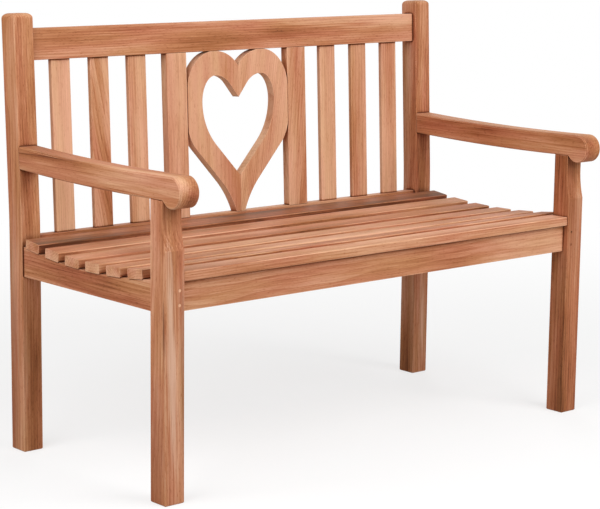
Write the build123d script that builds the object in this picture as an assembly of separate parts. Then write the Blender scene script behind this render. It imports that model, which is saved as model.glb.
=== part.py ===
"""Two-seat teak garden bench with a heart in its back.

Every board is a solid of its own, joined by mortises, tenons and pegs.
X runs along the bench, Y from front to back and Z up from the floor, in millimetres.
Left and right are those of a viewer who faces the bench.
"""
import os
from math import asin, cos, degrees, hypot, radians, sin, sqrt, tan

from build123d import *

os.makedirs("parts", exist_ok=True)

# Legs and posts
bench_length = 1200.0       # outer face of one leg to the outer face of the other
leg_spread = 544.0          # front face of a front leg to the back face of a post, at the floor
leg_width = 47.0            # along X
leg_depth = 48.0            # along Y
leg_arris = 1.2             # bevel of the long edges
foot_chamfer = 2.0
post_rise = 32.0            # top of a post above the top rail, on the post's centre line
post_crown = 12.0           # rounding of a post's top edges
bend_rise = 31.5            # turn of a post from upright to raked, above the lower back rail
bend_radius = 1500.0
rake = radians(2.6)         # lean of the back behind the upright
scoop_depth = 9.0           # hollow in the front of a front leg, below the armrest's scroll
scoop_drop = 98.0           # lower edge of the hollow below the leg's shoulder
scoop_height = 62.0         # from there to the end of its curve

# Armrests
arm_rise = 220.0            # shoulder of a front leg, where the armrest lies, above rail_low
scroll_radius = 31.0
scroll_lift = 18.0          # scroll's centre above the shoulder
arm_sweep = 6500.0          # radius of the long dip in the top
arm_dip = 182.0             # lowest point of the dip, behind the front of the leg
arm_arris = 2.5             # bevel of the long edges and of the scroll

# Seat
rail_low = 381.0            # underside of the apron, the side rails and the lower back rail
apron_depth = 60.0
apron_thick = 21.0
side_rail_thick = 22.0
side_rail_inset = 4.0       # side rail's outer face inside the leg's outer face
bearer_thick = 24.0
bearer_lift = 11.0          # bearer's underside above rail_low
slat_count = 6              # seat slats behind the front slat
slat_width = 48.0
slat_thick = 20.0
slat_arris = 2.5
slat_end_inset = 2.0        # ends of the slats inside the leg's outer face
front_slat_inset = 3.0      # front slat's edge behind the leg's front face
last_slat_gap = 11.0        # last slat's edge in front of the posts
seat_sweep = 1500.0         # radius of the dish, on the undersides of the slats
seat_rise = 46.5            # lowest underside above rail_low
seat_low_behind = 267.5     # lowest point, behind the front of the legs

# Back
lower_rail_depth = 82.5
back_opening = 367.0        # height between the two back rails
top_rail_depth = 66.5
back_rail_thick = 28.0
back_rail_arris = 2.0
stile_width = 55.0
panel_thick = 22.0          # heart and its two stiles, flush with the fronts of the rails
back_slat_count = 3         # on each side of the heart
back_slat_width = 48.0
back_slat_thick = 11.0
back_slat_forward = 1.5     # middle of the back slats in front of the middle of the rails
back_arris = 1.0            # bevel of stiles and back slats

# Heart
heart_width = 294.0         # between the stiles
lobe_offset = 68.0          # top of a lobe from the centre line
lobe_fall = 90.0            # from the top of a lobe down to its upright side
lobe_trim = 0.8             # taken off the top of a lobe, where it meets the rail
notch_drop = 34.5           # notch between the lobes, below their tops
flank_radius = 90.0         # round turn from the upright side into the slope
flank_angle = 42.0          # degrees that the slope leaves the upright
stem_radius = 210.0         # hollow turn from the slope into the stem
stem_angle = 19.0           # degrees that the stem's sides leave the upright, at its foot
stem_width = 24.5           # at its foot
window_width = 210.0
window_drop = 54.5          # top of the window below the lobes
window_offset = 66.5        # top of the window from the centre line
window_fall = 59.5          # from there down to its widest part
window_turn = 53.0          # radius at the top of the window
window_rise = 51.5          # degrees that the inner point's sides rise
window_flank = 144.0        # round turn into the window's slope
window_angle = 42.5         # degrees that this slope leaves the upright

# Joints
play = 0.2                  # between a tenon and each wall of its mortise
end_play = 1.5              # between a tenon's end and the bottom of its mortise
slat_gap = 0.5              # between an end of the front slat and the leg
tenon_wall = 4.0            # wood between the two tenons that meet in a leg
rail_tenon_thick = 12.0
rail_haunch = 8.0           # tenon's edges inside the rail's edges
side_tenon = 22.0           # length of the tenons of side rails and armrests
side_tenon_height = 34.0
arm_tenon_width = 16.0
arm_haunch = 10.0
leg_tenon = 22.0            # length and sides of the tenon under the armrest
bearer_tenon = 9.0
panel_tenon = 18.0          # length of the tenons of stiles, slats and heart
panel_tenon_thick = 10.0
panel_haunch = 7.5
stem_haunch = 4.5
peg_radius = 3.0
peg_play = 0.05             # around a peg
peg_stop = 11.0             # wood left in front of a peg's end
peg_shoulder = 12.0         # peg's centre from the face that the rail meets
peg_edge = 15.5             # peg's centre from the rail's upper or lower edge

# Heights that follow from the sizes
apron_high = rail_low + apron_depth
bearer_low = rail_low + bearer_lift
seat_low = rail_low + seat_rise
arm_seat = rail_low + arm_rise
scoop_start = arm_seat - scoop_drop
lower_rail_high = rail_low + lower_rail_depth
bend_height = lower_rail_high + bend_rise
top_rail_low = lower_rail_high + back_opening
top_rail_high = top_rail_low + top_rail_depth
post_top = top_rail_high + post_rise

# Places that follow from the sizes, with the middle of the whole depth at y = 0
scroll_reach = sqrt(scroll_radius**2 - scroll_lift**2)
overhang = scroll_radius + scroll_reach - scoop_depth
post_run = (post_top - bend_height) / cos(rake)
lean = (post_run - post_crown) * sin(rake) + post_crown * (1 - cos(rake))
leg_front = (overhang - leg_spread - lean) / 2
leg_back = leg_front + leg_depth
scoop_face = leg_front + scoop_depth
post_back = leg_front + leg_spread
post_front = post_back - leg_depth
post_middle = post_back - leg_depth / 2
outer_face = bench_length / 2
inner_face = outer_face - leg_width
apron_front = leg_front + (leg_depth - apron_thick) / 2
apron_back = apron_front + apron_thick
side_rail_x = outer_face - side_rail_inset - side_rail_thick / 2
rail_tenon = side_rail_x - rail_tenon_thick / 2 - tenon_wall - inner_face
peg_length = leg_depth - peg_stop
panel_forward = (back_rail_thick - panel_thick) / 2
back_gap = (inner_face - heart_width / 2 - stile_width - back_slat_count * back_slat_width) / (
    back_slat_count + 1
)

# Plane in the middle of the back: x along the bench, y up the rake, z to the front
back_plane = Plane(
    origin=(0, post_middle, bend_height), x_dir=(1, 0, 0), z_dir=(0, -cos(rake), sin(rake))
)


def up_rake(height):
    """Distance up the rake from the bend, for a height on the back plane."""
    return (height - bend_height) / cos(rake)


def back_y(height, forward):
    """Y, at a height, of the plane that lies a distance in front of the back plane."""
    return post_middle - forward / cos(rake) + (height - bend_height) * tan(rake)


panel_low = up_rake(lower_rail_high)
panel_high = up_rake(top_rail_low)


def block(x0, x1, y0, y1, z0, z1):
    """Box between two corners."""
    return Pos((x0 + x1) / 2, (y0 + y1) / 2, (z0 + z1) / 2) * Box(x1 - x0, y1 - y0, z1 - z0)


def back_block(x0, x1, s0, s1, thick, forward=0.0):
    """Box from s0 to s1 up the rake, centred a distance in front of the back plane."""
    return back_plane.offset(forward) * block(x0, x1, s0, s1, -thick / 2, thick / 2)


def side_board(outline, x, thick):
    """Board with an outline in Y and Z, centred on a place along X."""
    return extrude(Plane.YZ.offset(x - thick / 2) * outline, amount=thick)


def other_side(board):
    """The same board for the right side."""
    return mirror(board, about=Plane.YZ)


def side_edges(board):
    """Edges around the two sides of a board, curved ones too."""
    return [edge for edge in board.edges() if abs((edge % 0.5).X) < 0.1]


def dowel(place, gap=0.0):
    """Peg, or its bore when a gap is given, along the Z of a plane."""
    return place * Cylinder(
        peg_radius + gap, peg_length, align=(Align.CENTER, Align.CENTER, Align.MIN)
    )


# Seat line under the slats
first_slat = leg_front + front_slat_inset + slat_width / 2
front_slat_back = first_slat + slat_width / 2
last_slat = post_front - last_slat_gap - slat_width / 2
slat_pitch = (last_slat - first_slat) / slat_count
seat_centre = leg_front + seat_low_behind


def slat_place(number):
    """Middle of a slat's underside in Y and Z, and the slat's tilt."""
    y = first_slat + number * slat_pitch
    tilt = asin((y - seat_centre) / seat_sweep)
    return y, seat_low + seat_sweep * (1 - cos(tilt)), tilt


def seat_line():
    """Ends of the flats that the slats lie on, from front to back in Y and Z."""
    points = []
    for number in range(1, slat_count + 1):
        y, z, tilt = slat_place(number)
        for reach in (-slat_width / 2, slat_width / 2):
            points.append((y + reach * cos(tilt), z + reach * sin(tilt)))
    return points


def seat_height(y):
    """Height, at y, of the line through the flat of the nearer end slat."""
    number = 1 if y < seat_centre else slat_count
    middle, z, tilt = slat_place(number)
    return z + (y - middle) * tan(tilt)

# Tenons, or their mortises when gaps are given

def back_rail_tenon(low, high, gap=0.0, end=0.0):
    """Left tenon of a back rail."""
    return back_block(
        -inner_face - rail_tenon - end, -inner_face,
        low + rail_haunch - gap, high - rail_haunch + gap, rail_tenon_thick + 2 * gap,
    )


def apron_tenon(gap=0.0, end=0.0):
    """Left tenon of the apron."""
    middle = (apron_front + apron_back) / 2
    half = rail_tenon_thick / 2 + gap
    return block(
        -inner_face - rail_tenon - end, -inner_face, middle - half, middle + half,
        rail_low + rail_haunch - gap, apron_high - rail_haunch + gap,
    )


def side_rail_tenon(y0, y1, gap=0.0):
    """Tenon of the left side rail, from y0 to y1."""
    half = rail_tenon_thick / 2 + gap
    low = rail_low + rail_haunch
    return block(
        -side_rail_x - half, -side_rail_x + half, y0, y1,
        low - gap, low + side_tenon_height + gap,
    )


def leg_top_tenon(gap=0.0, end=0.0):
    """Square tenon on top of the left front leg."""
    half = leg_tenon / 2 + gap
    x = -outer_face + leg_width / 2
    y = (scoop_face + leg_back) / 2
    return block(x - half, x + half, y - half, y + half, arm_seat, arm_seat + leg_tenon + end)


def arm_back_tenon(gap=0.0, end=0.0):
    """Tenon of the left armrest into the post, rooted inside the armrest."""
    x = -outer_face + leg_width / 2
    half = arm_tenon_width / 2 + gap
    y, low = arm_end(under_sweep)
    high = arm_end(arm_sweep)[1]
    return block(
        x - half, x + half, y - side_tenon, y + side_tenon + end,
        low + arm_haunch - gap, high - arm_haunch + gap,
    )


def bearer_tenons(gap=0.0, end=0.0):
    """Tenons of the middle bearer, rooted inside it."""
    half = rail_tenon_thick / 2 + gap
    low = bearer_low + rail_haunch
    high = seat_low - rail_haunch
    back = back_y(low, back_rail_thick / 2)
    root = bearer_tenon
    front_tenon = block(
        -half, half, apron_back - bearer_tenon - end, apron_back + root, low - gap, high + gap
    )
    back_tenon = block(
        -half, half, back - root, back + bearer_tenon + end, low - gap, high + gap
    )
    return front_tenon + back_tenon


def panel_tenon_pair(x, width, gap=0.0, end=0.0):
    """Tenons at both ends of a stile, from the lower rail into the top rail."""
    half = width / 2 - panel_haunch + gap
    thick = panel_tenon_thick + 2 * gap
    lower = back_block(x - half, x + half, panel_low - panel_tenon - end, panel_low, thick)
    upper = back_block(x - half, x + half, panel_high, panel_high + panel_tenon + end, thick)
    return lower + upper


# Pegs of the left side

apron_pegs = [
    Plane(origin=(-inner_face - peg_shoulder, leg_front, z), z_dir=(0, 1, 0))
    for z in (rail_low + peg_edge, apron_high - peg_edge)
]
lower_rail_pegs = [
    Plane(origin=(-inner_face - peg_shoulder, post_back, z), z_dir=(0, -1, 0))
    for z in (rail_low + peg_edge, lower_rail_high - peg_edge)
]
top_rail_pegs = [
    Plane(
        origin=back_plane.from_local_coords((-inner_face - peg_shoulder, s, -leg_depth / 2)),
        z_dir=back_plane.z_dir,
    )
    for s in (panel_high + peg_edge, up_rake(top_rail_high) - peg_edge)
]


# Legs and posts

def front_leg():
    """Left front leg, hollowed in front below the scroll."""
    curve_end = scoop_start + scoop_height
    outline = make_face(
        Polyline((leg_front, scoop_start), (leg_front, 0), (leg_back, 0), (leg_back, arm_seat),
                 (scoop_face, arm_seat), (scoop_face, curve_end))
        + TangentArc((scoop_face, curve_end), (leg_front, scoop_start), tangent=(0, -1))
    )
    leg = side_board(outline, -outer_face + leg_width / 2, leg_width)
    uprights = [edge for edge in side_edges(leg) if abs((edge % 0.5).Y) < 0.7]
    leg = chamfer(uprights, leg_arris)
    leg = chamfer(leg.edges().group_by(Axis.Z)[0], foot_chamfer)
    leg += leg_top_tenon()
    leg -= apron_tenon(play, end_play)
    leg -= side_rail_tenon(leg_back - side_tenon - end_play, leg_back, play)
    for place in apron_pegs:
        leg -= dowel(place, peg_play)
    return leg


def rear_post():
    """Left post, upright to the seat, raked above it and rounded over on top."""
    half = leg_depth / 2
    bend = half * tan(rake / 2)
    top = Vector(post_middle + post_run * sin(rake), bend_height + post_run * cos(rake))
    across = Vector(half * cos(rake), -half * sin(rake))
    outline = make_face(
        Polyline((post_front, 0), (post_front, bend_height + bend), top - across, top + across,
                 (post_back, bend_height - bend), (post_back, 0), close=True)
    )
    bends = [v for v in outline.vertices() if abs(v.Y - bend_height) < leg_depth]
    outline = fillet(bends, bend_radius)
    outline = fillet(outline.vertices().sort_by(Axis.Y)[-2:], post_crown)
    x = -outer_face + leg_width / 2
    post = side_board(outline, x, leg_width)
    post = chamfer([edge for edge in side_edges(post) if edge.center().Z > foot_chamfer], leg_arris)
    front_view = Pos(x, post_run - post_top) * Rectangle(leg_width, 2 * post_top)
    front_view = fillet(front_view.vertices().sort_by(Axis.Y)[-2:], post_crown)
    post &= extrude(back_plane * front_view, amount=2 * leg_depth, both=True)
    post = chamfer(post.edges().group_by(Axis.Z)[0], foot_chamfer)
    post -= side_rail_tenon(post_front, post_front + side_tenon + end_play, play)
    post -= arm_back_tenon(play, end_play)
    post -= back_rail_tenon(up_rake(rail_low), panel_low, play, end_play)
    post -= back_rail_tenon(panel_high, up_rake(top_rail_high), play, end_play)
    for place in lower_rail_pegs + top_rail_pegs:
        post -= dowel(place, peg_play)
    return post


# Armrests

arm_y = leg_front + arm_dip
scroll_y = scoop_face - scroll_reach
scroll_z = arm_seat + scroll_lift
sweep_z = scroll_z + sqrt((arm_sweep + scroll_radius) ** 2 - (arm_y - scroll_y) ** 2)
under_sweep = hypot(leg_back - arm_y, sweep_z - arm_seat)


def arm_end(radius):
    """Point in Y and Z where a long arc of the armrest meets the raked face of the post."""
    y, z = post_front, arm_seat
    for _ in range(6):
        z = sweep_z - sqrt(radius**2 - (y - arm_y) ** 2)
        y = back_y(z, leg_depth / 2)
    return y, z


def armrest():
    """Left armrest, dished along its length and scrolled over the front leg."""
    share = scroll_radius / (arm_sweep + scroll_radius)
    crown = (scroll_y + (arm_y - scroll_y) * share, scroll_z + (sweep_z - scroll_z) * share)
    outline = make_face(
        ThreePointArc(crown, (arm_y, sweep_z - arm_sweep), arm_end(arm_sweep))
        + Line(arm_end(arm_sweep), arm_end(under_sweep))
        + ThreePointArc(arm_end(under_sweep), (arm_y, sweep_z - under_sweep), (leg_back, arm_seat))
        + Line((leg_back, arm_seat), (scoop_face, arm_seat))
        + ThreePointArc((scoop_face, arm_seat), (scroll_y - scroll_radius, scroll_z), crown)
    )
    arm = side_board(outline, -outer_face + leg_width / 2, leg_width)
    arm = chamfer([edge for edge in side_edges(arm) if edge.center().Y < post_front], arm_arris)
    arm += arm_back_tenon()
    return arm - leg_top_tenon(play, end_play)


# Seat

def side_rail():
    """Left side rail, its top cut in flats for the slats."""
    outline = make_face(
        Polyline((leg_back, rail_low), (leg_back, seat_height(leg_back)), *seat_line(),
                 (post_front, seat_height(post_front)), (post_front, rail_low), close=True)
    )
    rail = side_board(outline, -side_rail_x, side_rail_thick)
    rail += side_rail_tenon(leg_back - side_tenon, leg_back)
    return rail + side_rail_tenon(post_front, post_front + side_tenon)


def front_apron():
    """Front rail under the front slat."""
    apron = block(-inner_face, inner_face, apron_front, apron_back, rail_low, apron_high)
    tenon = apron_tenon()
    for place in apron_pegs:
        tenon -= dowel(place, peg_play)
    return apron + tenon + other_side(tenon) - bearer_tenons(play, end_play)


def seat_bearer():
    """Bearer across the middle of the seat, cut in the same flats as the side rails."""
    half = back_rail_thick / 2
    back_z = seat_height(back_y(lower_rail_high, half))
    outline = make_face(
        Polyline((apron_back, bearer_low), (apron_back, apron_high), (front_slat_back, apron_high),
                 *seat_line(), (back_y(back_z, half), back_z), (back_y(bearer_low, half), bearer_low),
                 close=True)
    )
    return side_board(outline, 0, bearer_thick) + bearer_tenons()


def front_slat():
    """Seat slat between the front legs, on the apron."""
    reach = inner_face - slat_gap
    slat = block(
        -reach, reach, first_slat - slat_width / 2, front_slat_back,
        apron_high, apron_high + slat_thick,
    )
    return fillet(slat.edges().filter_by(Axis.X), slat_arris)


def seat_slat(number):
    """Slat that lies on the side rails and the bearer."""
    y, z, tilt = slat_place(number)
    reach = outer_face - slat_end_inset
    slat = block(-reach, reach, -slat_width / 2, slat_width / 2, 0, slat_thick)
    slat = fillet(slat.edges().filter_by(Axis.X), slat_arris)
    return Pos(0, y, z) * Rot(degrees(tilt), 0, 0) * slat


# Back

stile_x = heart_width / 2 + stile_width / 2
back_slat_places = [
    inner_face - back_gap - back_slat_width / 2 - i * (back_slat_width + back_gap)
    for i in range(back_slat_count)
]


def back_rail(low, high, pegs):
    """Rail between the posts, from low to high up the rake."""
    rail = back_block(-inner_face, inner_face, low, high, back_rail_thick)
    rail = fillet(rail.edges().filter_by(Axis.X), back_rail_arris)
    tenon = back_rail_tenon(low, high)
    for place in pegs:
        tenon -= dowel(place, peg_play)
    rail += tenon + other_side(tenon)
    for x in (-stile_x, stile_x):
        rail -= panel_tenon_pair(x, stile_width, play, end_play)
    for x in back_slat_places:
        for side in (-x, x):
            rail -= back_slat_body(side, play, end_play)
    return rail


def back_slat_body(x, gap=0.0, end=0.0):
    """Back slat let into both rails, standing on the bottom of its lower mortise."""
    half = back_slat_width / 2 + gap
    return back_block(
        x - half, x + half, panel_low - panel_tenon, panel_high + panel_tenon + end,
        back_slat_thick + 2 * gap, back_slat_forward,
    )


def back_slat(x):
    """Back slat with bevelled edges."""
    slat = back_slat_body(x)
    return chamfer([edge for edge in slat.edges() if edge.length > back_opening / 2], back_arris)


def heart_stile(x):
    """Stile beside the heart."""
    half = stile_width / 2
    stile = back_block(x - half, x + half, panel_low, panel_high, panel_thick, panel_forward)
    long_edges = [edge for edge in stile.edges() if edge.length > back_opening / 2]
    return chamfer(long_edges, back_arris) + panel_tenon_pair(x, stile_width)


def heart_outline():
    """Right half of the heart's outer edge, closed along the centre line."""
    half = heart_width / 2
    turn = radians(flank_angle)
    foot = radians(stem_angle)
    across = flank_radius * (1 - cos(turn)) + stem_radius * (cos(foot) - cos(turn))
    down = flank_radius * sin(turn) + stem_radius * (sin(turn) - sin(foot))
    slope = (half - stem_width / 2 - across) / sin(turn)
    flank_start = panel_low + down + slope * cos(turn)
    crown = (lobe_offset, panel_high + lobe_trim)
    notch = (0, panel_high - notch_drop)
    side_start = panel_high - lobe_fall
    flank = JernArc((half, flank_start), (0, -1), flank_radius, -flank_angle)
    fall = PolarLine(flank @ 1, slope, direction=flank % 1)
    stem = JernArc(fall @ 1, fall % 1, stem_radius, flank_angle - stem_angle)
    lobe = EllipticalCenterArc(
        (lobe_offset, side_start), half - lobe_offset, lobe_fall + lobe_trim, arc_size=90
    )
    return make_face(
        TangentArc(crown, notch, tangent=(-1, 0))
        + lobe
        + Line((half, side_start), (half, flank_start))
        + flank + fall + stem
        + Polyline(stem @ 1, (0, panel_low), notch)
    )


def heart_window():
    """Right half of the heart-shaped opening, closed along the centre line."""
    half = window_width / 2
    top = panel_high - window_drop
    crown = (window_offset, top)
    side = top - window_fall
    rise = radians(window_rise)
    turn = JernArc(crown, (-1, 0), window_turn, window_rise)
    inner = PolarLine(turn @ 1, (turn @ 1).X / cos(rise), direction=turn % 1)
    flank = JernArc((half, side), (0, -1), window_flank, -window_angle)
    fall = PolarLine(flank @ 1, (flank @ 1).X / sin(radians(window_angle)), direction=flank % 1)
    return make_face(
        turn + inner
        + EllipticalCenterArc((window_offset, side), half - window_offset, window_fall, arc_size=90)
        + flank + fall
        + Line(fall @ 1, inner @ 1)
    )


def heart_half():
    """Right half of the heart, glued to its twin on the centre line."""
    above = Pos(lobe_offset, panel_high + lobe_fall / 2) * Rectangle(heart_width, lobe_fall)
    face = heart_outline() - heart_window() - above
    half = extrude(back_plane.offset(panel_forward) * face, amount=panel_thick / 2, both=True)
    return half + heart_tenon(0, stem_width / 2 - stem_haunch)


def heart_tenon(x0, x1, gap=0.0, end=0.0):
    """Tenon under the heart's stem."""
    return back_block(x0, x1, panel_low - panel_tenon - end, panel_low, panel_tenon_thick + 2 * gap)


def lower_back_rail():
    """Lower rail, which also closes the seat and carries the bearer."""
    rail = back_rail(up_rake(rail_low), panel_low, lower_rail_pegs)
    reach = stem_width / 2 - stem_haunch + play
    rail -= heart_tenon(-reach, reach, play, end_play)
    return rail - bearer_tenons(play, end_play)


def peg_group(places):
    """Pegs of one post or leg, as one set."""
    return Compound(children=[dowel(place) for place in places])


# All the boards by name
nodes = {
    "front_apron": front_apron(),
    "seat_bearer": seat_bearer(),
    "top_rail": back_rail(panel_high, up_rake(top_rail_high), top_rail_pegs),
    "lower_back_rail": lower_back_rail(),
    "seat_slat_front": front_slat(),
}
pairs = {
    "front_leg": front_leg(),
    "rear_post": rear_post(),
    "armrest": armrest(),
    "side_rail": side_rail(),
    "heart_stile": heart_stile(-stile_x),
    "heart_half": other_side(heart_half()),
    "apron_pegs": peg_group(apron_pegs),
    "back_pegs": peg_group(lower_rail_pegs + top_rail_pegs),
}
for i, x in enumerate(back_slat_places, 1):
    pairs[f"back_slat_{i}"] = back_slat(-x)
for name, left in pairs.items():
    nodes[f"{name}_left"] = left
    nodes[f"{name}_right"] = other_side(left)
for number in range(1, slat_count + 1):
    nodes[f"seat_slat_{number}"] = seat_slat(number)

for name, board in nodes.items():
    export_step(board, f"parts/{name}.step")
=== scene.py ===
"""Looks of a two-seat teak garden bench with a heart in its back, built around its CAD frame.

X runs along the bench, Y from front to back and Z up, in metres.
"""
from math import cos, radians, sin
from typing import NamedTuple

import bpy
from bpy.props import FloatProperty, FloatVectorProperty, PointerProperty
from mathutils import Matrix, Vector


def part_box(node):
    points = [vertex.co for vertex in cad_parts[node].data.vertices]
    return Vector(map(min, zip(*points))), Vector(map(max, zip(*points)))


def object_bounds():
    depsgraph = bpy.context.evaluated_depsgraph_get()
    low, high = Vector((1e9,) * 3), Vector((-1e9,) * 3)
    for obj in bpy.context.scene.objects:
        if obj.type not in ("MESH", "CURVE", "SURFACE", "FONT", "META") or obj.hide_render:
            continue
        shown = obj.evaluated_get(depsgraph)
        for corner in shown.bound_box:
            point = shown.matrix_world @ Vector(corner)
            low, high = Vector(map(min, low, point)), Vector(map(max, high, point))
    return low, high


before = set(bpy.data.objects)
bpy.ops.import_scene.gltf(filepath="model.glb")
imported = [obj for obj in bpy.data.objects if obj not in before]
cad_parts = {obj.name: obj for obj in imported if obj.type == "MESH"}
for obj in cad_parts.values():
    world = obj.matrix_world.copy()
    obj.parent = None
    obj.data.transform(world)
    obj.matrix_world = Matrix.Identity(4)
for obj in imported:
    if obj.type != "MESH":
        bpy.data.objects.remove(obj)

bl_info = {
    "name": "Teak garden bench",
    "version": (1, 0, 0),
    "blender": (4, 5, 0),
    "location": "3D View > Sidebar > Bench",
    "description": "Bare teak boards, studio floor, lights and camera for a bench with a heart in its back",
    "category": "Object",
}

CAD_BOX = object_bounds()
MM = 0.001
RAKE = radians(2.6)         # lean of the back
BOARD_STEP = 1.7            # metres of log between two boards, so that no two share a figure

# Slow changes in a board: length along the grain and width across it
RING_STRAY = (420 * MM, 110 * MM)       # waves of the growth rings
TONE_DRIFT = (400 * MM, 55 * MM)        # darker and lighter wood
HUE_DRIFT = (200 * MM, 30 * MM)         # redder and yellower wood
RUBBED_PATCH = (130 * MM, 100 * MM)     # stretches of arris that hands have rubbed

# Where a change starts and where it is full
PORE_OPENS = (0.6, 0.74)    # in the noise of the pores
RUBBED = (0.35, 0.6)        # in the noise of the rubbed patches
HUE_NOISE = (0.3, 0.7)      # in the noise of the hue
VEIN_EDGE = (2.0, 1.3)      # distance from the middle of a vein, frayed by the fibres
ARRIS_TURN = (0.99, 0.93)   # cosine of the angle between a face and its paler edge
END_TURN = (0.2, 0.75)      # part of a face's normal that lies along the grain
SKY_TURN = (0.5, 0.95)      # part of a face's normal that points up

LATE_WOOD = 2.5             # power of the place in a year, so that late wood stays at the year's end
VEIN_FRAY = 2.0             # how far the fibres fray a vein
HUE_TURN = (0.494, 0.506)   # from redder to yellower, where 0.5 leaves the hue as it is
SKY_SHEEN_SHARE = 0.15                 # share of the painted sky sheen where it is full
ROUND_ARRIS = (0.65, 0.27)  # upward part of the normal on a round arris, and how far from it still counts
SHEEN_BREAK = 0.2           # how much the fibres change the roughness

# Painted shade in closed corners, a narrow and a wide one: reach, openness at which it starts, and darkness
CORNER_SHADES = ((5 * MM, 0.9, 0.9), (30 * MM, 0.75, 0.35))
CORNER_FADE = 0.3           # loss of openness from there to the full darkness
FOOT_CLEAR = (10 * MM, 40 * MM)         # heights between which that shade sets in, above the floor
SEAM_LINE = 1.5 * MM        # half the width of the dark line on a flush joint
SEAM_CLEAR = 2 * MM         # on both sides of it no arris is made paler

SOFT_BOX = 1.8              # side of a soft box
LAMP_PLACES = {"front": (0.54, -2.03, 1.98), "side": (-2.07, -0.37, 1.98), "rear": (2.7, 3.2, 1.2)}
FLOOR_GLOW = 0.7            # share of plain white in the floor under the bench, so that its shadow is pale
FLOOR_FADE = (0.5, 3.0)     # distances from the middle between which the floor turns all white

# Directions of a board: along the grain, across it and through it
GRAIN = {
    "along_x": ((1, 0, 0), (0, 1, 0), (0, 0, 1)),
    "along_y": ((0, 1, 0), (-1, 0, 0), (0, 0, 1)),
    "upright": ((0, 0, 1), (1, 0, 0), (0, 1, 0)),
    "up_rake": ((0, sin(RAKE), cos(RAKE)), (1, 0, 0), (0, cos(RAKE), -sin(RAKE))),
}


class Streak(NamedTuple):
    """Pale or dark streak that runs along the grain, placed from the middle of its board in millimetres;
    most are veins and sapwood, a few dark ones painted shade and one pale one a painted reflection.
    """

    across: float
    through: float
    radius: float
    along: float
    reach: float            # half its length
    pale: bool = True
    strength: float = 0.75


class Board(NamedTuple):
    """How one board was sawn from the log."""

    grain: str
    tone: float             # above zero is darker
    pith: tuple             # heart of the log from the middle of the board, across and through, in mm
    wander: float = 14.0    # how far the growth rings stray, in mm
    slope: float = 0.0      # degrees that the grain leaves the board's length; 180 turns it end for end
    figure: float = 1.0     # strength of the rings and streaks
    edge: float = -0.45     # tone of the arrises, partly wear and partly painted highlight
    ends: float = -0.1      # tone of the end grain
    corners: float = 1.0    # how dark the painted shade in closed corners is
    fillet: bool = False    # arrises round enough to be seen
    seams: tuple = ()       # flush joints: place on both sides of the bench's middle, in mm, and darkness
    streaks: tuple = ()


LEGS = {
    "front_leg_left": Board(
        "upright", 0.14, (70, 60), slope=-1.2, edge=-0.15, corners=0.2,
        streaks=(
            Streak(-8, -25, 12, -10, 300),
            Streak(-24, -19, 6, 50, 90, pale=False, strength=0.8),
            # Dark streak on the lower left face: painted shade, darker towards the bottom
            Streak(-30, 8, 34, -220, 200, pale=False, strength=0.2),
            Streak(22, -24, 16, -70, 280, pale=False, strength=0.35),
        ),
    ),
    "front_leg_right": Board(
        "upright", 0.27, (-80, 50), corners=0.2,
        streaks=(Streak(0, -30, 36, 160, 200, pale=False, strength=0.25),),
    ),
    "rear_post_left": Board(
        "upright", 0.07, (90, 40), wander=18, edge=-0.25,
        # Dark streak over the lower part: painted shade, darker towards the bottom
        streaks=(Streak(-32, 8, 36, -300, 450, pale=False, strength=0.35),),
    ),
    "rear_post_right": Board(
        "upright", 0.1, (-60, 90), wander=18,
        # Pale streak on the front face: a painted reflection, drawn in the sapwood colour
        streaks=(Streak(5, -34, 9, -315, 130, strength=0.6),),
    ),
}
ARMS = {
    "armrest_left": Board("along_y", 0.12, (170, -40), wander=10, slope=180, edge=-0.65, corners=0.2),
    "armrest_right": Board("along_y", 0.07, (180, -50), wander=10, edge=-0.75, ends=0.2, corners=0.2),
}
SEAT_RAILS = {
    "front_apron": Board("along_x", 0.05, (120, -30), wander=20),
    "side_rail_left": Board("along_y", 0.01, (90, -60)),
    "side_rail_right": Board("along_y", 0.14, (-90, -60)),
    "seat_bearer": Board("along_y", 0.05, (70, -70)),
}
SEAT_SLATS = {
    "seat_slat_front": Board("along_x", -0.05, (30, -120), fillet=True),
    "seat_slat_1": Board("along_x", 0.14, (-20, -90), fillet=True),
    "seat_slat_2": Board("along_x", -0.1, (60, -70), fillet=True),
    "seat_slat_3": Board("along_x", -0.02, (10, 100), ends=-0.2, fillet=True),
    "seat_slat_4": Board("along_x", 0.13, (-70, -60), fillet=True),
    "seat_slat_5": Board("along_x", 0.08, (40, 80), ends=-0.25, fillet=True),
    # Its dark tone is partly painted shade under the back
    "seat_slat_6": Board("along_x", 0.38, (-50, -110), ends=-0.4, fillet=True),
}
BACK_RAILS = {
    "top_rail": Board("along_x", 0.0, (10, -150), wander=10),
    "lower_back_rail": Board("along_x", 0.1, (20, -140)),
}
BACK_SLATS = {
    "heart_stile_left": Board("up_rake", -0.15, (-20, 100)),
    "heart_stile_right": Board("up_rake", -0.11, (70, 40), wander=22, slope=5),
    "back_slat_1_left": Board("up_rake", -0.49, (150, 20), wander=6, figure=0.8),
    "back_slat_2_left": Board("up_rake", -0.11, (35, 40), wander=24, slope=-9),
    "back_slat_3_left": Board("up_rake", -0.2, (-90, 60)),
    "back_slat_1_right": Board("up_rake", -0.16, (-80, 50)),
    "back_slat_2_right": Board("up_rake", -0.12, (60, -70)),
    "back_slat_3_right": Board("up_rake", -0.2, (100, 30)),
}
HEART_SEAMS = ((0, 0.1), (147, 0.5))    # glue line between the halves, and their sides against the stiles
HEART = {
    "heart_half_left": Board(
        "up_rake", -0.12, (-60, 170), wander=8, figure=0.6, ends=-0.3, corners=0.3,
        seams=HEART_SEAMS,
    ),
    "heart_half_right": Board(
        "up_rake", -0.28, (190, 20), wander=10, slope=9, figure=0.9, ends=-0.3, corners=0.3,
        seams=HEART_SEAMS,
    ),
}
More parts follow.
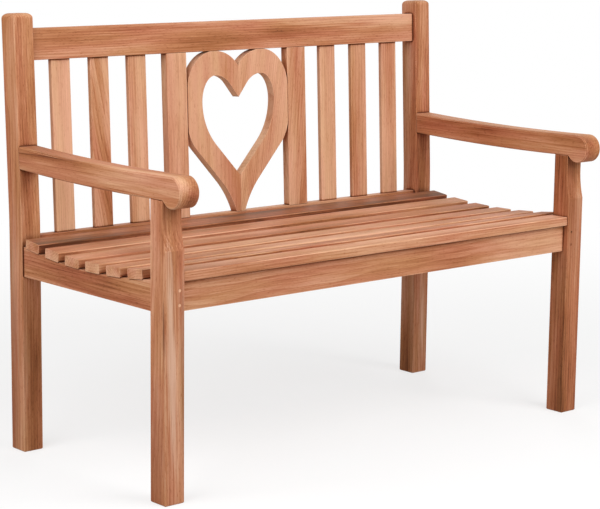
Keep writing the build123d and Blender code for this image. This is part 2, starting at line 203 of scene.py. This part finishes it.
PEGS = {
    "apron_pegs_left": Board("along_y", -0.5, (3, 8), edge=0.0),
    "apron_pegs_right": Board("along_y", 0.55, (3, 8), edge=0.0),
    "back_pegs_left": Board("along_y", -0.3, (3, 8), edge=0.1),
    "back_pegs_right": Board("along_y", -0.3, (3, 8), edge=0.1),
}


def linear(code):
    """Linear colour with alpha from an sRGB hex code."""
    channels = [int(code[i:i + 2], 16) / 255 for i in (1, 3, 5)]
    return [c / 12.92 if c <= 0.04045 else ((c + 0.055) / 1.055) ** 2.4 for c in channels] + [1.0]


WHITE = linear("#FFFFFF")


def add(tree, kind, inputs, stops=(), **settings):
    """Add a shader node with its settings, set or link its inputs, and give its colour stops."""
    node = tree.nodes.new("ShaderNode" + kind)
    for name, value in settings.items():
        setattr(node, name, value)
    for name, value in inputs.items():
        if isinstance(value, bpy.types.NodeSocket):
            tree.links.new(value, node.inputs[name])
        else:
            node.inputs[name].default_value = value
    for number, (position, colour) in enumerate(stops):
        elements = node.color_ramp.elements
        element = elements[number] if number < 2 else elements.new(position)
        element.position = position
        element.color = colour
    return node


class TeakFinish(bpy.types.PropertyGroup):
    """Colours and grain of the bare teak."""

    pale: FloatVectorProperty(
        name="Pale", description="Palest straw of the heartwood", subtype="COLOR", size=4,
        min=0, max=1, default=linear("#EBB894"),
    )
    honey: FloatVectorProperty(
        name="Honey", description="Light heartwood between the rings", subtype="COLOR", size=4,
        min=0, max=1, default=linear("#D9A17E"),
    )
    salmon: FloatVectorProperty(
        name="Salmon", description="Common tone of the heartwood", subtype="COLOR", size=4,
        min=0, max=1, default=linear("#C3815B"),
    )
    russet: FloatVectorProperty(
        name="Russet", description="Late wood and darker veins", subtype="COLOR", size=4,
        min=0, max=1, default=linear("#A4603C"),
    )
    # Umber also colours the painted shade in closed corners
    umber: FloatVectorProperty(
        name="Umber", description="Pores, joints and mineral streaks", subtype="COLOR", size=4,
        min=0, max=1, default=linear("#62341E"),
    )
    sapwood: FloatVectorProperty(
        name="Sapwood", description="Pale outer wood", subtype="COLOR", size=4,
        min=0, max=1, default=linear("#E2B89E"),
    )
    # Painted sky sheen: a grey on faces that look up, in place of the sky they mirror
    sky_sheen_colour: FloatVectorProperty(
        name="Silver", description="Thin film that the weather leaves on faces that look up",
        subtype="COLOR", size=4, min=0, max=1, default=linear("#B99A7C"),
    )
    ring_width: FloatProperty(
        name="Ring width", description="One year's growth", default=5.5 * MM, unit="LENGTH",
    )
    band_width: FloatProperty(
        name="Band width", description="Run of darker or lighter years", default=34 * MM, unit="LENGTH",
    )
    # Real fibres and pores are finer than the render can show, so both are drawn some three times as coarse
    fibre_width: FloatProperty(
        name="Fibre width", description="Streaks of fibres, some three times as coarse as the real ones",
        default=1.5 * MM, unit="LENGTH",
    )
    fibre_length: FloatProperty(
        name="Fibre length", description="Streaks of fibres along the grain",
        default=110 * MM, unit="LENGTH",
    )
    fleck_width: FloatProperty(
        name="Fleck width", description="Soft flecks where the fibres turn", default=5 * MM, unit="LENGTH",
    )
    fleck_length: FloatProperty(
        name="Fleck length", description="Soft flecks along the grain", default=80 * MM, unit="LENGTH",
    )
    pore_width: FloatProperty(
        name="Pore width", description="Open pores, some three times as coarse as the real ones",
        default=0.9 * MM, unit="LENGTH",
    )
    pore_length: FloatProperty(
        name="Pore length", description="Open pores along the grain", default=11 * MM, unit="LENGTH",
    )
    arris: FloatProperty(
        name="Arris", description="Radius that sanding leaves on the edges",
        default=0.6 * MM, unit="LENGTH",
    )
    # Paler edges: partly wear, partly painted highlight where light catches them
    wear_and_highlight_width: FloatProperty(
        name="Wear", description="Width of the paler, rubbed edges", default=1.8 * MM, unit="LENGTH",
    )
    roughness: FloatProperty(
        name="Roughness", description="Roughness of the sanded surface", default=0.72, min=0, max=1,
    )


class StageSettings(bpy.types.PropertyGroup):
    """Floor, lights and camera."""

    floor_colour: FloatVectorProperty(
        name="Floor", description="Colour of the floor", subtype="COLOR", size=4,
        min=0, max=1, default=linear("#C9C9C7"),
    )
    floor_size: FloatProperty(
        name="Floor size", description="Side of the floor", default=80.0, unit="LENGTH",
    )
    front_power: FloatProperty(
        name="Front", description="Power of the soft box in front", default=48.0, unit="POWER",
    )
    side_power: FloatProperty(
        name="Side", description="Power of the soft box on the left", default=39.0, unit="POWER",
    )
    rear_power: FloatProperty(
        name="Rear", description="Power of the soft box behind", default=40.0, unit="POWER",
    )
    sky_strength: FloatProperty(name="Sky", description="Light from all round", default=0.25, min=0)
    focal_length: FloatProperty(
        name="Focal length", description="Lens on a sensor 36 mm wide", default=117.5, unit="CAMERA",
    )


def board_axes(board):
    """Columns along, across and through a board, with the grain's slope in its face."""
    axes = Matrix(GRAIN[board.grain]).transposed()
    return axes @ Matrix.Rotation(radians(board.slope), 3, "Z")


def drawn_out(tree, place, length, width, detail, output="Fac"):
    """Noise with marks of that length along the grain and that width across it."""
    scale = (1 / length, 1 / width, 1 / width)
    scaled = add(tree, "VectorMath", {0: place, 1: scale}, operation="MULTIPLY").outputs[0]
    return add(tree, "TexNoise", {"Vector": scaled, "Scale": 1.0, "Detail": detail}).outputs[output]


def growth_rings(tree, strayed, finish):
    """Bands of years, and the late wood that closes each year, from the strayed distance to the pith."""
    flat = add(tree, "VectorMath", {0: strayed, 1: (0, 1, 1)}, operation="MULTIPLY").outputs[0]
    radius = add(tree, "VectorMath", {0: flat}, operation="LENGTH").outputs["Value"]
    bands = add(tree, "TexNoise", {
        "W": radius, "Scale": 1 / finish.band_width, "Detail": 1.0,
    }, noise_dimensions="1D").outputs["Fac"]
    years = add(tree, "Math", {
        0: radius, 1: 1 / finish.ring_width, 2: bands,
    }, operation="MULTIPLY_ADD").outputs[0]
    year = add(tree, "Math", {0: years}, operation="FRACT").outputs[0]
    late_wood = add(tree, "Math", {0: year, 1: LATE_WOOD}, operation="POWER").outputs[0]
    return bands, late_wood


def rubbed_and_highlit_arrises(tree, place, normal, upward, board, finish):
    """Paler edges, the round ones too where they face up, in patches: partly wear where hands rub them,
    partly painted highlight.
    """
    edge_bent_normal = add(tree, "Bevel", {"Radius": finish.wear_and_highlight_width}, samples=6).outputs[0]
    turned = add(tree, "VectorMath", {0: edge_bent_normal, 1: normal}, operation="DOT_PRODUCT").outputs["Value"]
    arrises = add(tree, "MapRange", {
        "Value": turned, "From Min": ARRIS_TURN[0], "From Max": ARRIS_TURN[1],
    }).outputs[0]
    if board.fillet:
        slant, spread = ROUND_ARRIS
        slanted = add(tree, "Math", {0: upward, 1: slant, 2: spread}, operation="COMPARE").outputs[0]
        arrises = add(tree, "Math", {0: arrises, 1: slanted}, operation="MAXIMUM").outputs[0]
    handled = add(tree, "MapRange", {
        "Value": drawn_out(tree, place, *RUBBED_PATCH, 1.0),
        "From Min": RUBBED[0], "From Max": RUBBED[1],
    }).outputs[0]
    return add(tree, "Math", {0: arrises, 1: handled}, operation="MULTIPLY").outputs[0]


def painted_corner_shade(tree, height, board):
    """Painted shade that darkens closed corners where boards meet, but not where the feet stand on the
    floor.
    """
    floor, clear = FOOT_CLEAR
    off_floor = add(tree, "MapRange", {"Value": height, "From Min": floor, "From Max": clear}).outputs[0]
    corners = 0.0
    for reach, opening, darkness in CORNER_SHADES:
        openness = add(tree, "AmbientOcclusion", {"Distance": reach}, samples=8).outputs["AO"]
        closed = add(tree, "MapRange", {
            "Value": openness, "From Min": opening, "From Max": opening - CORNER_FADE,
            "To Max": darkness * board.corners,
        }).outputs[0]
        corners = add(tree, "Math", {
            0: closed, 1: off_floor, 2: corners,
        }, operation="MULTIPLY_ADD").outputs[0]
    return corners


def lay_streaks(tree, colour, strayed, fibres, from_pith, board, finish):
    """Pale and dark streaks over the colour, frayed by the fibres: veins and sapwood, some painted shade
    and a painted reflection.
    """
    stray = board.wander * MM
    for streak in board.streaks:
        middle = Vector((streak.along, streak.across, streak.through)) * MM + from_pith
        middle += Vector((0, stray, stray)) / 2
        size = Vector((streak.reach, streak.radius, streak.radius)) * MM
        offset = add(tree, "VectorMath", {0: strayed, 1: middle}, operation="SUBTRACT").outputs[0]
        share = add(tree, "VectorMath", {0: offset, 1: size}, operation="DIVIDE").outputs[0]
        distance = add(tree, "VectorMath", {0: share}, operation="LENGTH").outputs["Value"]
        frayed = add(tree, "Math", {
            0: fibres, 1: VEIN_FRAY, 2: distance,
        }, operation="MULTIPLY_ADD").outputs[0]
        streak_share = add(tree, "MapRange", {
            "Value": frayed, "From Min": VEIN_EDGE[0], "From Max": VEIN_EDGE[1], "To Max": streak.strength,
        }, interpolation_type="SMOOTHSTEP").outputs[0]
        tint = finish.sapwood if streak.pale else finish.umber
        colour = add(tree, "MixRGB", {"Fac": streak_share, "Color1": colour, "Color2": tint}).outputs[0]
    return colour


def teak(name, board, finish, number):
    """Planed and sanded bare teak: salmon boards with fine rings, drawn-out fibres and dark open pores.

    The eye sees straight streaks on long faces, arcs of rings on ends, paler arrises that are partly worn
    and partly a painted highlight, painted shade in closed corners, a painted sky sheen on faces that look
    up, and a dull sheen that is broken up by the fibres.
    """
    material = bpy.data.materials.new(f"teak_planed_{name}")
    material.use_nodes = True
    tree = material.node_tree
    low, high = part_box(name)
    axes = board_axes(board)
    from_pith = Vector((number * BOARD_STEP, -board.pith[0] * MM, -board.pith[1] * MM))
    position = add(tree, "TexCoord", {}).outputs["Object"]
    place = add(tree, "Mapping", {
        "Vector": position,
        "Location": (low + high) / 2 - axes @ from_pith,
        "Rotation": axes.to_euler(),
    }, vector_type="TEXTURE").outputs[0]

    # Patterns inside the wood
    stray = board.wander * MM
    strayed = add(tree, "VectorMath", {
        0: drawn_out(tree, place, *RING_STRAY, 2.0, "Color"), 1: (0, stray, stray), 2: place,
    }, operation="MULTIPLY_ADD").outputs[0]
    bands, late_wood = growth_rings(tree, strayed, finish)
    drift = drawn_out(tree, place, *TONE_DRIFT, 1.5)
    fibres = drawn_out(tree, place, finish.fibre_length, finish.fibre_width, 2.0)
    flecks = drawn_out(tree, place, finish.fleck_length, finish.fleck_width, 2.0)
    pores = add(tree, "MapRange", {
        "Value": drawn_out(tree, place, finish.pore_length, finish.pore_width, 1.0),
        "From Min": PORE_OPENS[0], "From Max": PORE_OPENS[1],
    }, interpolation_type="SMOOTHSTEP").outputs[0]

    # Ends across the grain, arrises with wear and painted highlight, painted shade in corners, and flush
    # joints
    normal = add(tree, "NewGeometry", {}).outputs["True Normal"]
    upward = add(tree, "SeparateXYZ", {0: normal}).outputs["Z"]
    along = add(tree, "VectorMath", {0: normal, 1: axes.col[0]}, operation="DOT_PRODUCT").outputs["Value"]
    facing = add(tree, "Math", {0: along}, operation="ABSOLUTE").outputs[0]
    ends = add(tree, "MapRange", {
        "Value": facing, "From Min": END_TURN[0], "From Max": END_TURN[1],
    }).outputs[0]
    worn_and_highlit = rubbed_and_highlit_arrises(tree, place, normal, upward, board, finish)
    outward = add(tree, "SeparateXYZ", {
        0: add(tree, "VectorMath", {0: position}, operation="ABSOLUTE").outputs[0],
    }).outputs
    corner_shade_and_seams = painted_corner_shade(tree, outward["Z"], board)
    for seam, darkness in board.seams:
        touching, line = (
            add(tree, "Math", {0: outward["X"], 1: seam * MM, 2: reach}, operation="COMPARE").outputs[0]
            for reach in (SEAM_CLEAR, SEAM_LINE)
        )
        worn_and_highlit = add(tree, "Math", {0: worn_and_highlit, 1: touching}, operation="SUBTRACT", use_clamp=True).outputs[0]
        corner_shade_and_seams = add(tree, "Math", {0: line, 1: darkness, 2: corner_shade_and_seams}, operation="MULTIPLY_ADD").outputs[0]

    # All of them move the tone between pale and umber, the figure about its own middle
    figure = ((bands, 0.6), (drift, 1.1), (fibres, 0.5), (flecks, 0.35), (late_wood, 0.15))
    depth = 0.5 + board.tone - 0.5 * board.figure * sum(weight for _, weight in figure)
    for pattern, weight in (
        *((pattern, weight * board.figure) for pattern, weight in figure),
        (pores, 0.25), (ends, board.ends), (worn_and_highlit, board.edge), (corner_shade_and_seams, 1.0),
    ):
        depth = add(tree, "Math", {0: pattern, 1: weight, 2: depth}, operation="MULTIPLY_ADD").outputs[0]
    colour = add(tree, "ValToRGB", {"Fac": depth}, stops=(
        (0.0, finish.pale), (0.28, finish.honey), (0.5, finish.salmon), (0.75, finish.russet),
        (1.0, finish.umber),
    )).outputs["Color"]
    hue = add(tree, "MapRange", {
        "Value": drawn_out(tree, place, *HUE_DRIFT, 1.0),
        "From Min": HUE_NOISE[0], "From Max": HUE_NOISE[1], "To Min": HUE_TURN[0], "To Max": HUE_TURN[1],
    }).outputs[0]
    colour = add(tree, "HueSaturation", {"Color": colour, "Hue": hue}).outputs[0]
    # Painted sky sheen: faces that look up are mixed toward a grey, standing in for the sky they mirror
    painted_sky_sheen = add(tree, "MapRange", {
        "Value": upward, "From Min": SKY_TURN[0], "From Max": SKY_TURN[1], "To Max": SKY_SHEEN_SHARE,
    }).outputs[0]
    colour = add(tree, "MixRGB", {"Fac": painted_sky_sheen, "Color1": colour, "Color2": finish.sky_sheen_colour}).outputs[0]
    colour = lay_streaks(tree, colour, strayed, fibres, from_pith, board, finish)

    # Fibres stand a little proud of the pores and break up the sheen
    rounded = add(tree, "Bevel", {"Radius": finish.arris}, samples=6).outputs[0]
    relief = add(tree, "Math", {0: fibres, 1: pores}, operation="SUBTRACT").outputs[0]
    grooves = add(tree, "Bump", {
        "Strength": 0.35, "Distance": 0.25 * MM, "Height": relief, "Normal": rounded,
    }).outputs[0]
    dull = add(tree, "Math", {
        0: fibres, 1: SHEEN_BREAK, 2: finish.roughness - SHEEN_BREAK / 2,
    }, operation="MULTIPLY_ADD").outputs[0]
    shader = tree.nodes["Principled BSDF"]
    shader.inputs["Specular IOR Level"].default_value = 0.2     # bare dry wood mirrors little
    for socket, source in (("Base Color", colour), ("Roughness", dull), ("Normal", grooves)):
        tree.links.new(source, shader.inputs[socket])
    return material


def dress(context, boards):
    """Give each board of a group its own piece of the log."""
    names = sorted(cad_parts)
    for name, board in boards.items():
        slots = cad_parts[name].data.materials
        slots.clear()
        slots.append(teak(name, board, context.scene.teak_finish, names.index(name)))


class BENCH_OT_legs(bpy.types.Operator):
    """Finish the front legs and the rear posts"""

    bl_idname = "bench.legs"
    bl_label = "Legs and posts"

    def execute(self, context):
        dress(context, LEGS)
        return {"FINISHED"}


class BENCH_OT_arms(bpy.types.Operator):
    """Finish the armrests"""

    bl_idname = "bench.arms"
    bl_label = "Armrests"

    def execute(self, context):
        dress(context, ARMS)
        return {"FINISHED"}


class BENCH_OT_seat_rails(bpy.types.Operator):
    """Finish the apron, the side rails and the bearer"""

    bl_idname = "bench.seat_rails"
    bl_label = "Seat rails"

    def execute(self, context):
        dress(context, SEAT_RAILS)
        return {"FINISHED"}


class BENCH_OT_seat_slats(bpy.types.Operator):
    """Finish the seat slats"""

    bl_idname = "bench.seat_slats"
    bl_label = "Seat slats"

    def execute(self, context):
        dress(context, SEAT_SLATS)
        return {"FINISHED"}


class BENCH_OT_back(bpy.types.Operator):
    """Finish the rails, stiles and slats of the back"""

    bl_idname = "bench.back"
    bl_label = "Back"

    def execute(self, context):
        dress(context, BACK_RAILS)
        dress(context, BACK_SLATS)
        return {"FINISHED"}


class BENCH_OT_heart(bpy.types.Operator):
    """Finish the two halves of the heart"""

    bl_idname = "bench.heart"
    bl_label = "Heart"

    def execute(self, context):
        dress(context, HEART)
        return {"FINISHED"}


class BENCH_OT_pegs(bpy.types.Operator):
    """Finish the pegs"""

    bl_idname = "bench.pegs"
    bl_label = "Pegs"

    def execute(self, context):
        dress(context, PEGS)
        return {"FINISHED"}


def seen_as_background(tree):
    """One where a ray comes from the camera, or from it through gloss or glass."""
    path = add(tree, "LightPath", {})
    seen = path.outputs["Is Camera Ray"]
    for output in ("Is Glossy Ray", "Is Transmission Ray"):
        seen = add(tree, "Math", {0: seen, 1: path.outputs[output]}, operation="MAXIMUM").outputs[0]
    return seen


def studio_floor(settings):
    """Matt white paper: pale all over, with the bench's soft shadow on it."""
    material = bpy.data.materials.new("paper_matt_white")
    material.use_nodes = True
    tree = material.node_tree
    tree.nodes.remove(tree.nodes["Principled BSDF"])
    seen = seen_as_background(tree)
    tint = add(tree, "MixRGB", {"Fac": seen, "Color1": settings.floor_colour, "Color2": WHITE}).outputs[0]
    paper = add(tree, "BsdfDiffuse", {"Color": tint}).outputs[0]
    glow = add(tree, "Emission", {"Color": WHITE, "Strength": 1.0}).outputs[0]
    position = add(tree, "TexCoord", {}).outputs["Object"]
    distance = add(tree, "VectorMath", {0: position}, operation="LENGTH").outputs["Value"]
    near, far = FLOOR_FADE
    fading = add(tree, "MapRange", {
        "Value": distance, "From Min": near, "From Max": far, "To Min": FLOOR_GLOW, "To Max": 1.0,
    }, interpolation_type="SMOOTHSTEP").outputs[0]
    share = add(tree, "Math", {0: seen, 1: fading}, operation="MULTIPLY").outputs[0]
    mixed = add(tree, "MixShader", {0: share, 1: paper, 2: glow}).outputs[0]
    tree.links.new(mixed, tree.nodes["Material Output"].inputs["Surface"])
    half = settings.floor_size / 2
    corners = [(-half, -half, 0), (half, -half, 0), (half, half, 0), (-half, half, 0)]
    mesh = bpy.data.meshes.new("floor")
    mesh.from_pydata(corners, [], [(0, 1, 2, 3)])
    mesh.materials.append(material)
    floor = bpy.data.objects.new("floor", mesh)
    bpy.context.scene.collection.objects.link(floor)


def soft_light(name, power, place, target):
    """Square soft box that faces a point."""
    lamp = bpy.data.lights.new(name, "AREA")
    lamp.energy = power
    lamp.size = SOFT_BOX
    box = bpy.data.objects.new(name, lamp)
    box.location = place
    box.rotation_euler = (Vector(target) - Vector(place)).to_track_quat("-Z", "Y").to_euler()
    box.visible_camera = False
    bpy.context.scene.collection.objects.link(box)


def studio_world(settings):
    """Even light from all round, with plain white behind the bench."""
    world = bpy.data.worlds.new("studio")
    bpy.context.scene.world = world
    world.use_nodes = True
    tree = world.node_tree
    sky = tree.nodes["Background"]
    sky.inputs["Strength"].default_value = settings.sky_strength
    sky.inputs["Color"].default_value = WHITE
    backdrop = add(tree, "Background", {"Color": WHITE, "Strength": 1.0})
    mixed = add(tree, "MixShader", {0: seen_as_background(tree), 1: sky.outputs[0], 2: backdrop.outputs[0]})
    tree.links.new(mixed.outputs[0], tree.nodes["World Output"].inputs["Surface"])


def photo_camera(settings):
    """Camera at the photograph's place, turn and slight roll."""
    place = Vector((-2.8147, -3.1866, 1.1609))
    azimuth, elevation, roll = radians(-41.10), radians(10.18), radians(0.69)
    back = Vector((sin(azimuth) * cos(elevation), -cos(azimuth) * cos(elevation), sin(elevation)))
    right = Vector((cos(azimuth), sin(azimuth), 0))
    turned = Matrix((right, back.cross(right), back)).transposed() @ Matrix.Rotation(roll, 3, "Z")
    lens = bpy.data.cameras.new("camera")
    lens.lens = settings.focal_length
    camera = bpy.data.objects.new("camera", lens)
    camera.matrix_world = Matrix.Translation(place) @ turned.to_4x4()
    bpy.context.scene.collection.objects.link(camera)
    bpy.context.scene.camera = camera


class BENCH_OT_stage(bpy.types.Operator):
    """Set up the floor, the lights and the camera"""

    bl_idname = "bench.stage"
    bl_label = "Stage"

    def execute(self, context):
        settings = context.scene.bench_stage
        studio_floor(settings)
        low, high = CAD_BOX
        powers = {"front": settings.front_power, "side": settings.side_power, "rear": settings.rear_power}
        for name, place in LAMP_PLACES.items():
            soft_light(name, powers[name], place, (low + high) / 2)
        studio_world(settings)
        photo_camera(settings)
        context.scene.view_settings.view_transform = "Standard"
        return {"FINISHED"}


OPERATORS = (
    BENCH_OT_legs, BENCH_OT_arms, BENCH_OT_seat_rails, BENCH_OT_seat_slats, BENCH_OT_back, BENCH_OT_heart,
    BENCH_OT_pegs, BENCH_OT_stage,
)


class BENCH_PT_panel(bpy.types.Panel):
    """Sizes, colours and steps of the bench"""

    bl_idname = "BENCH_PT_panel"
    bl_label = "Teak bench"
    bl_space_type = "VIEW_3D"
    bl_region_type = "UI"
    bl_category = "Bench"

    def draw(self, context):
        for group in (context.scene.teak_finish, context.scene.bench_stage):
            column = self.layout.column()
            for name in group.__annotations__:
                column.prop(group, name)
        for operator in OPERATORS:
            self.layout.operator(operator.bl_idname)


CLASSES = (TeakFinish, StageSettings, *OPERATORS, BENCH_PT_panel)


def register():
    for item in CLASSES:
        bpy.utils.register_class(item)
    bpy.types.Scene.teak_finish = PointerProperty(type=TeakFinish)
    bpy.types.Scene.bench_stage = PointerProperty(type=StageSettings)


def unregister():
    del bpy.types.Scene.bench_stage
    del bpy.types.Scene.teak_finish
    for item in reversed(CLASSES):
        bpy.utils.unregister_class(item)


def main():
    """Dress the whole bench and set the stage."""
    register()
    bpy.ops.bench.legs()
    bpy.ops.bench.arms()
    bpy.ops.bench.seat_rails()
    bpy.ops.bench.seat_slats()
    bpy.ops.bench.back()
    bpy.ops.bench.heart()
    bpy.ops.bench.pegs()
    bpy.ops.bench.stage()


if __name__ == "__main__":
    main()
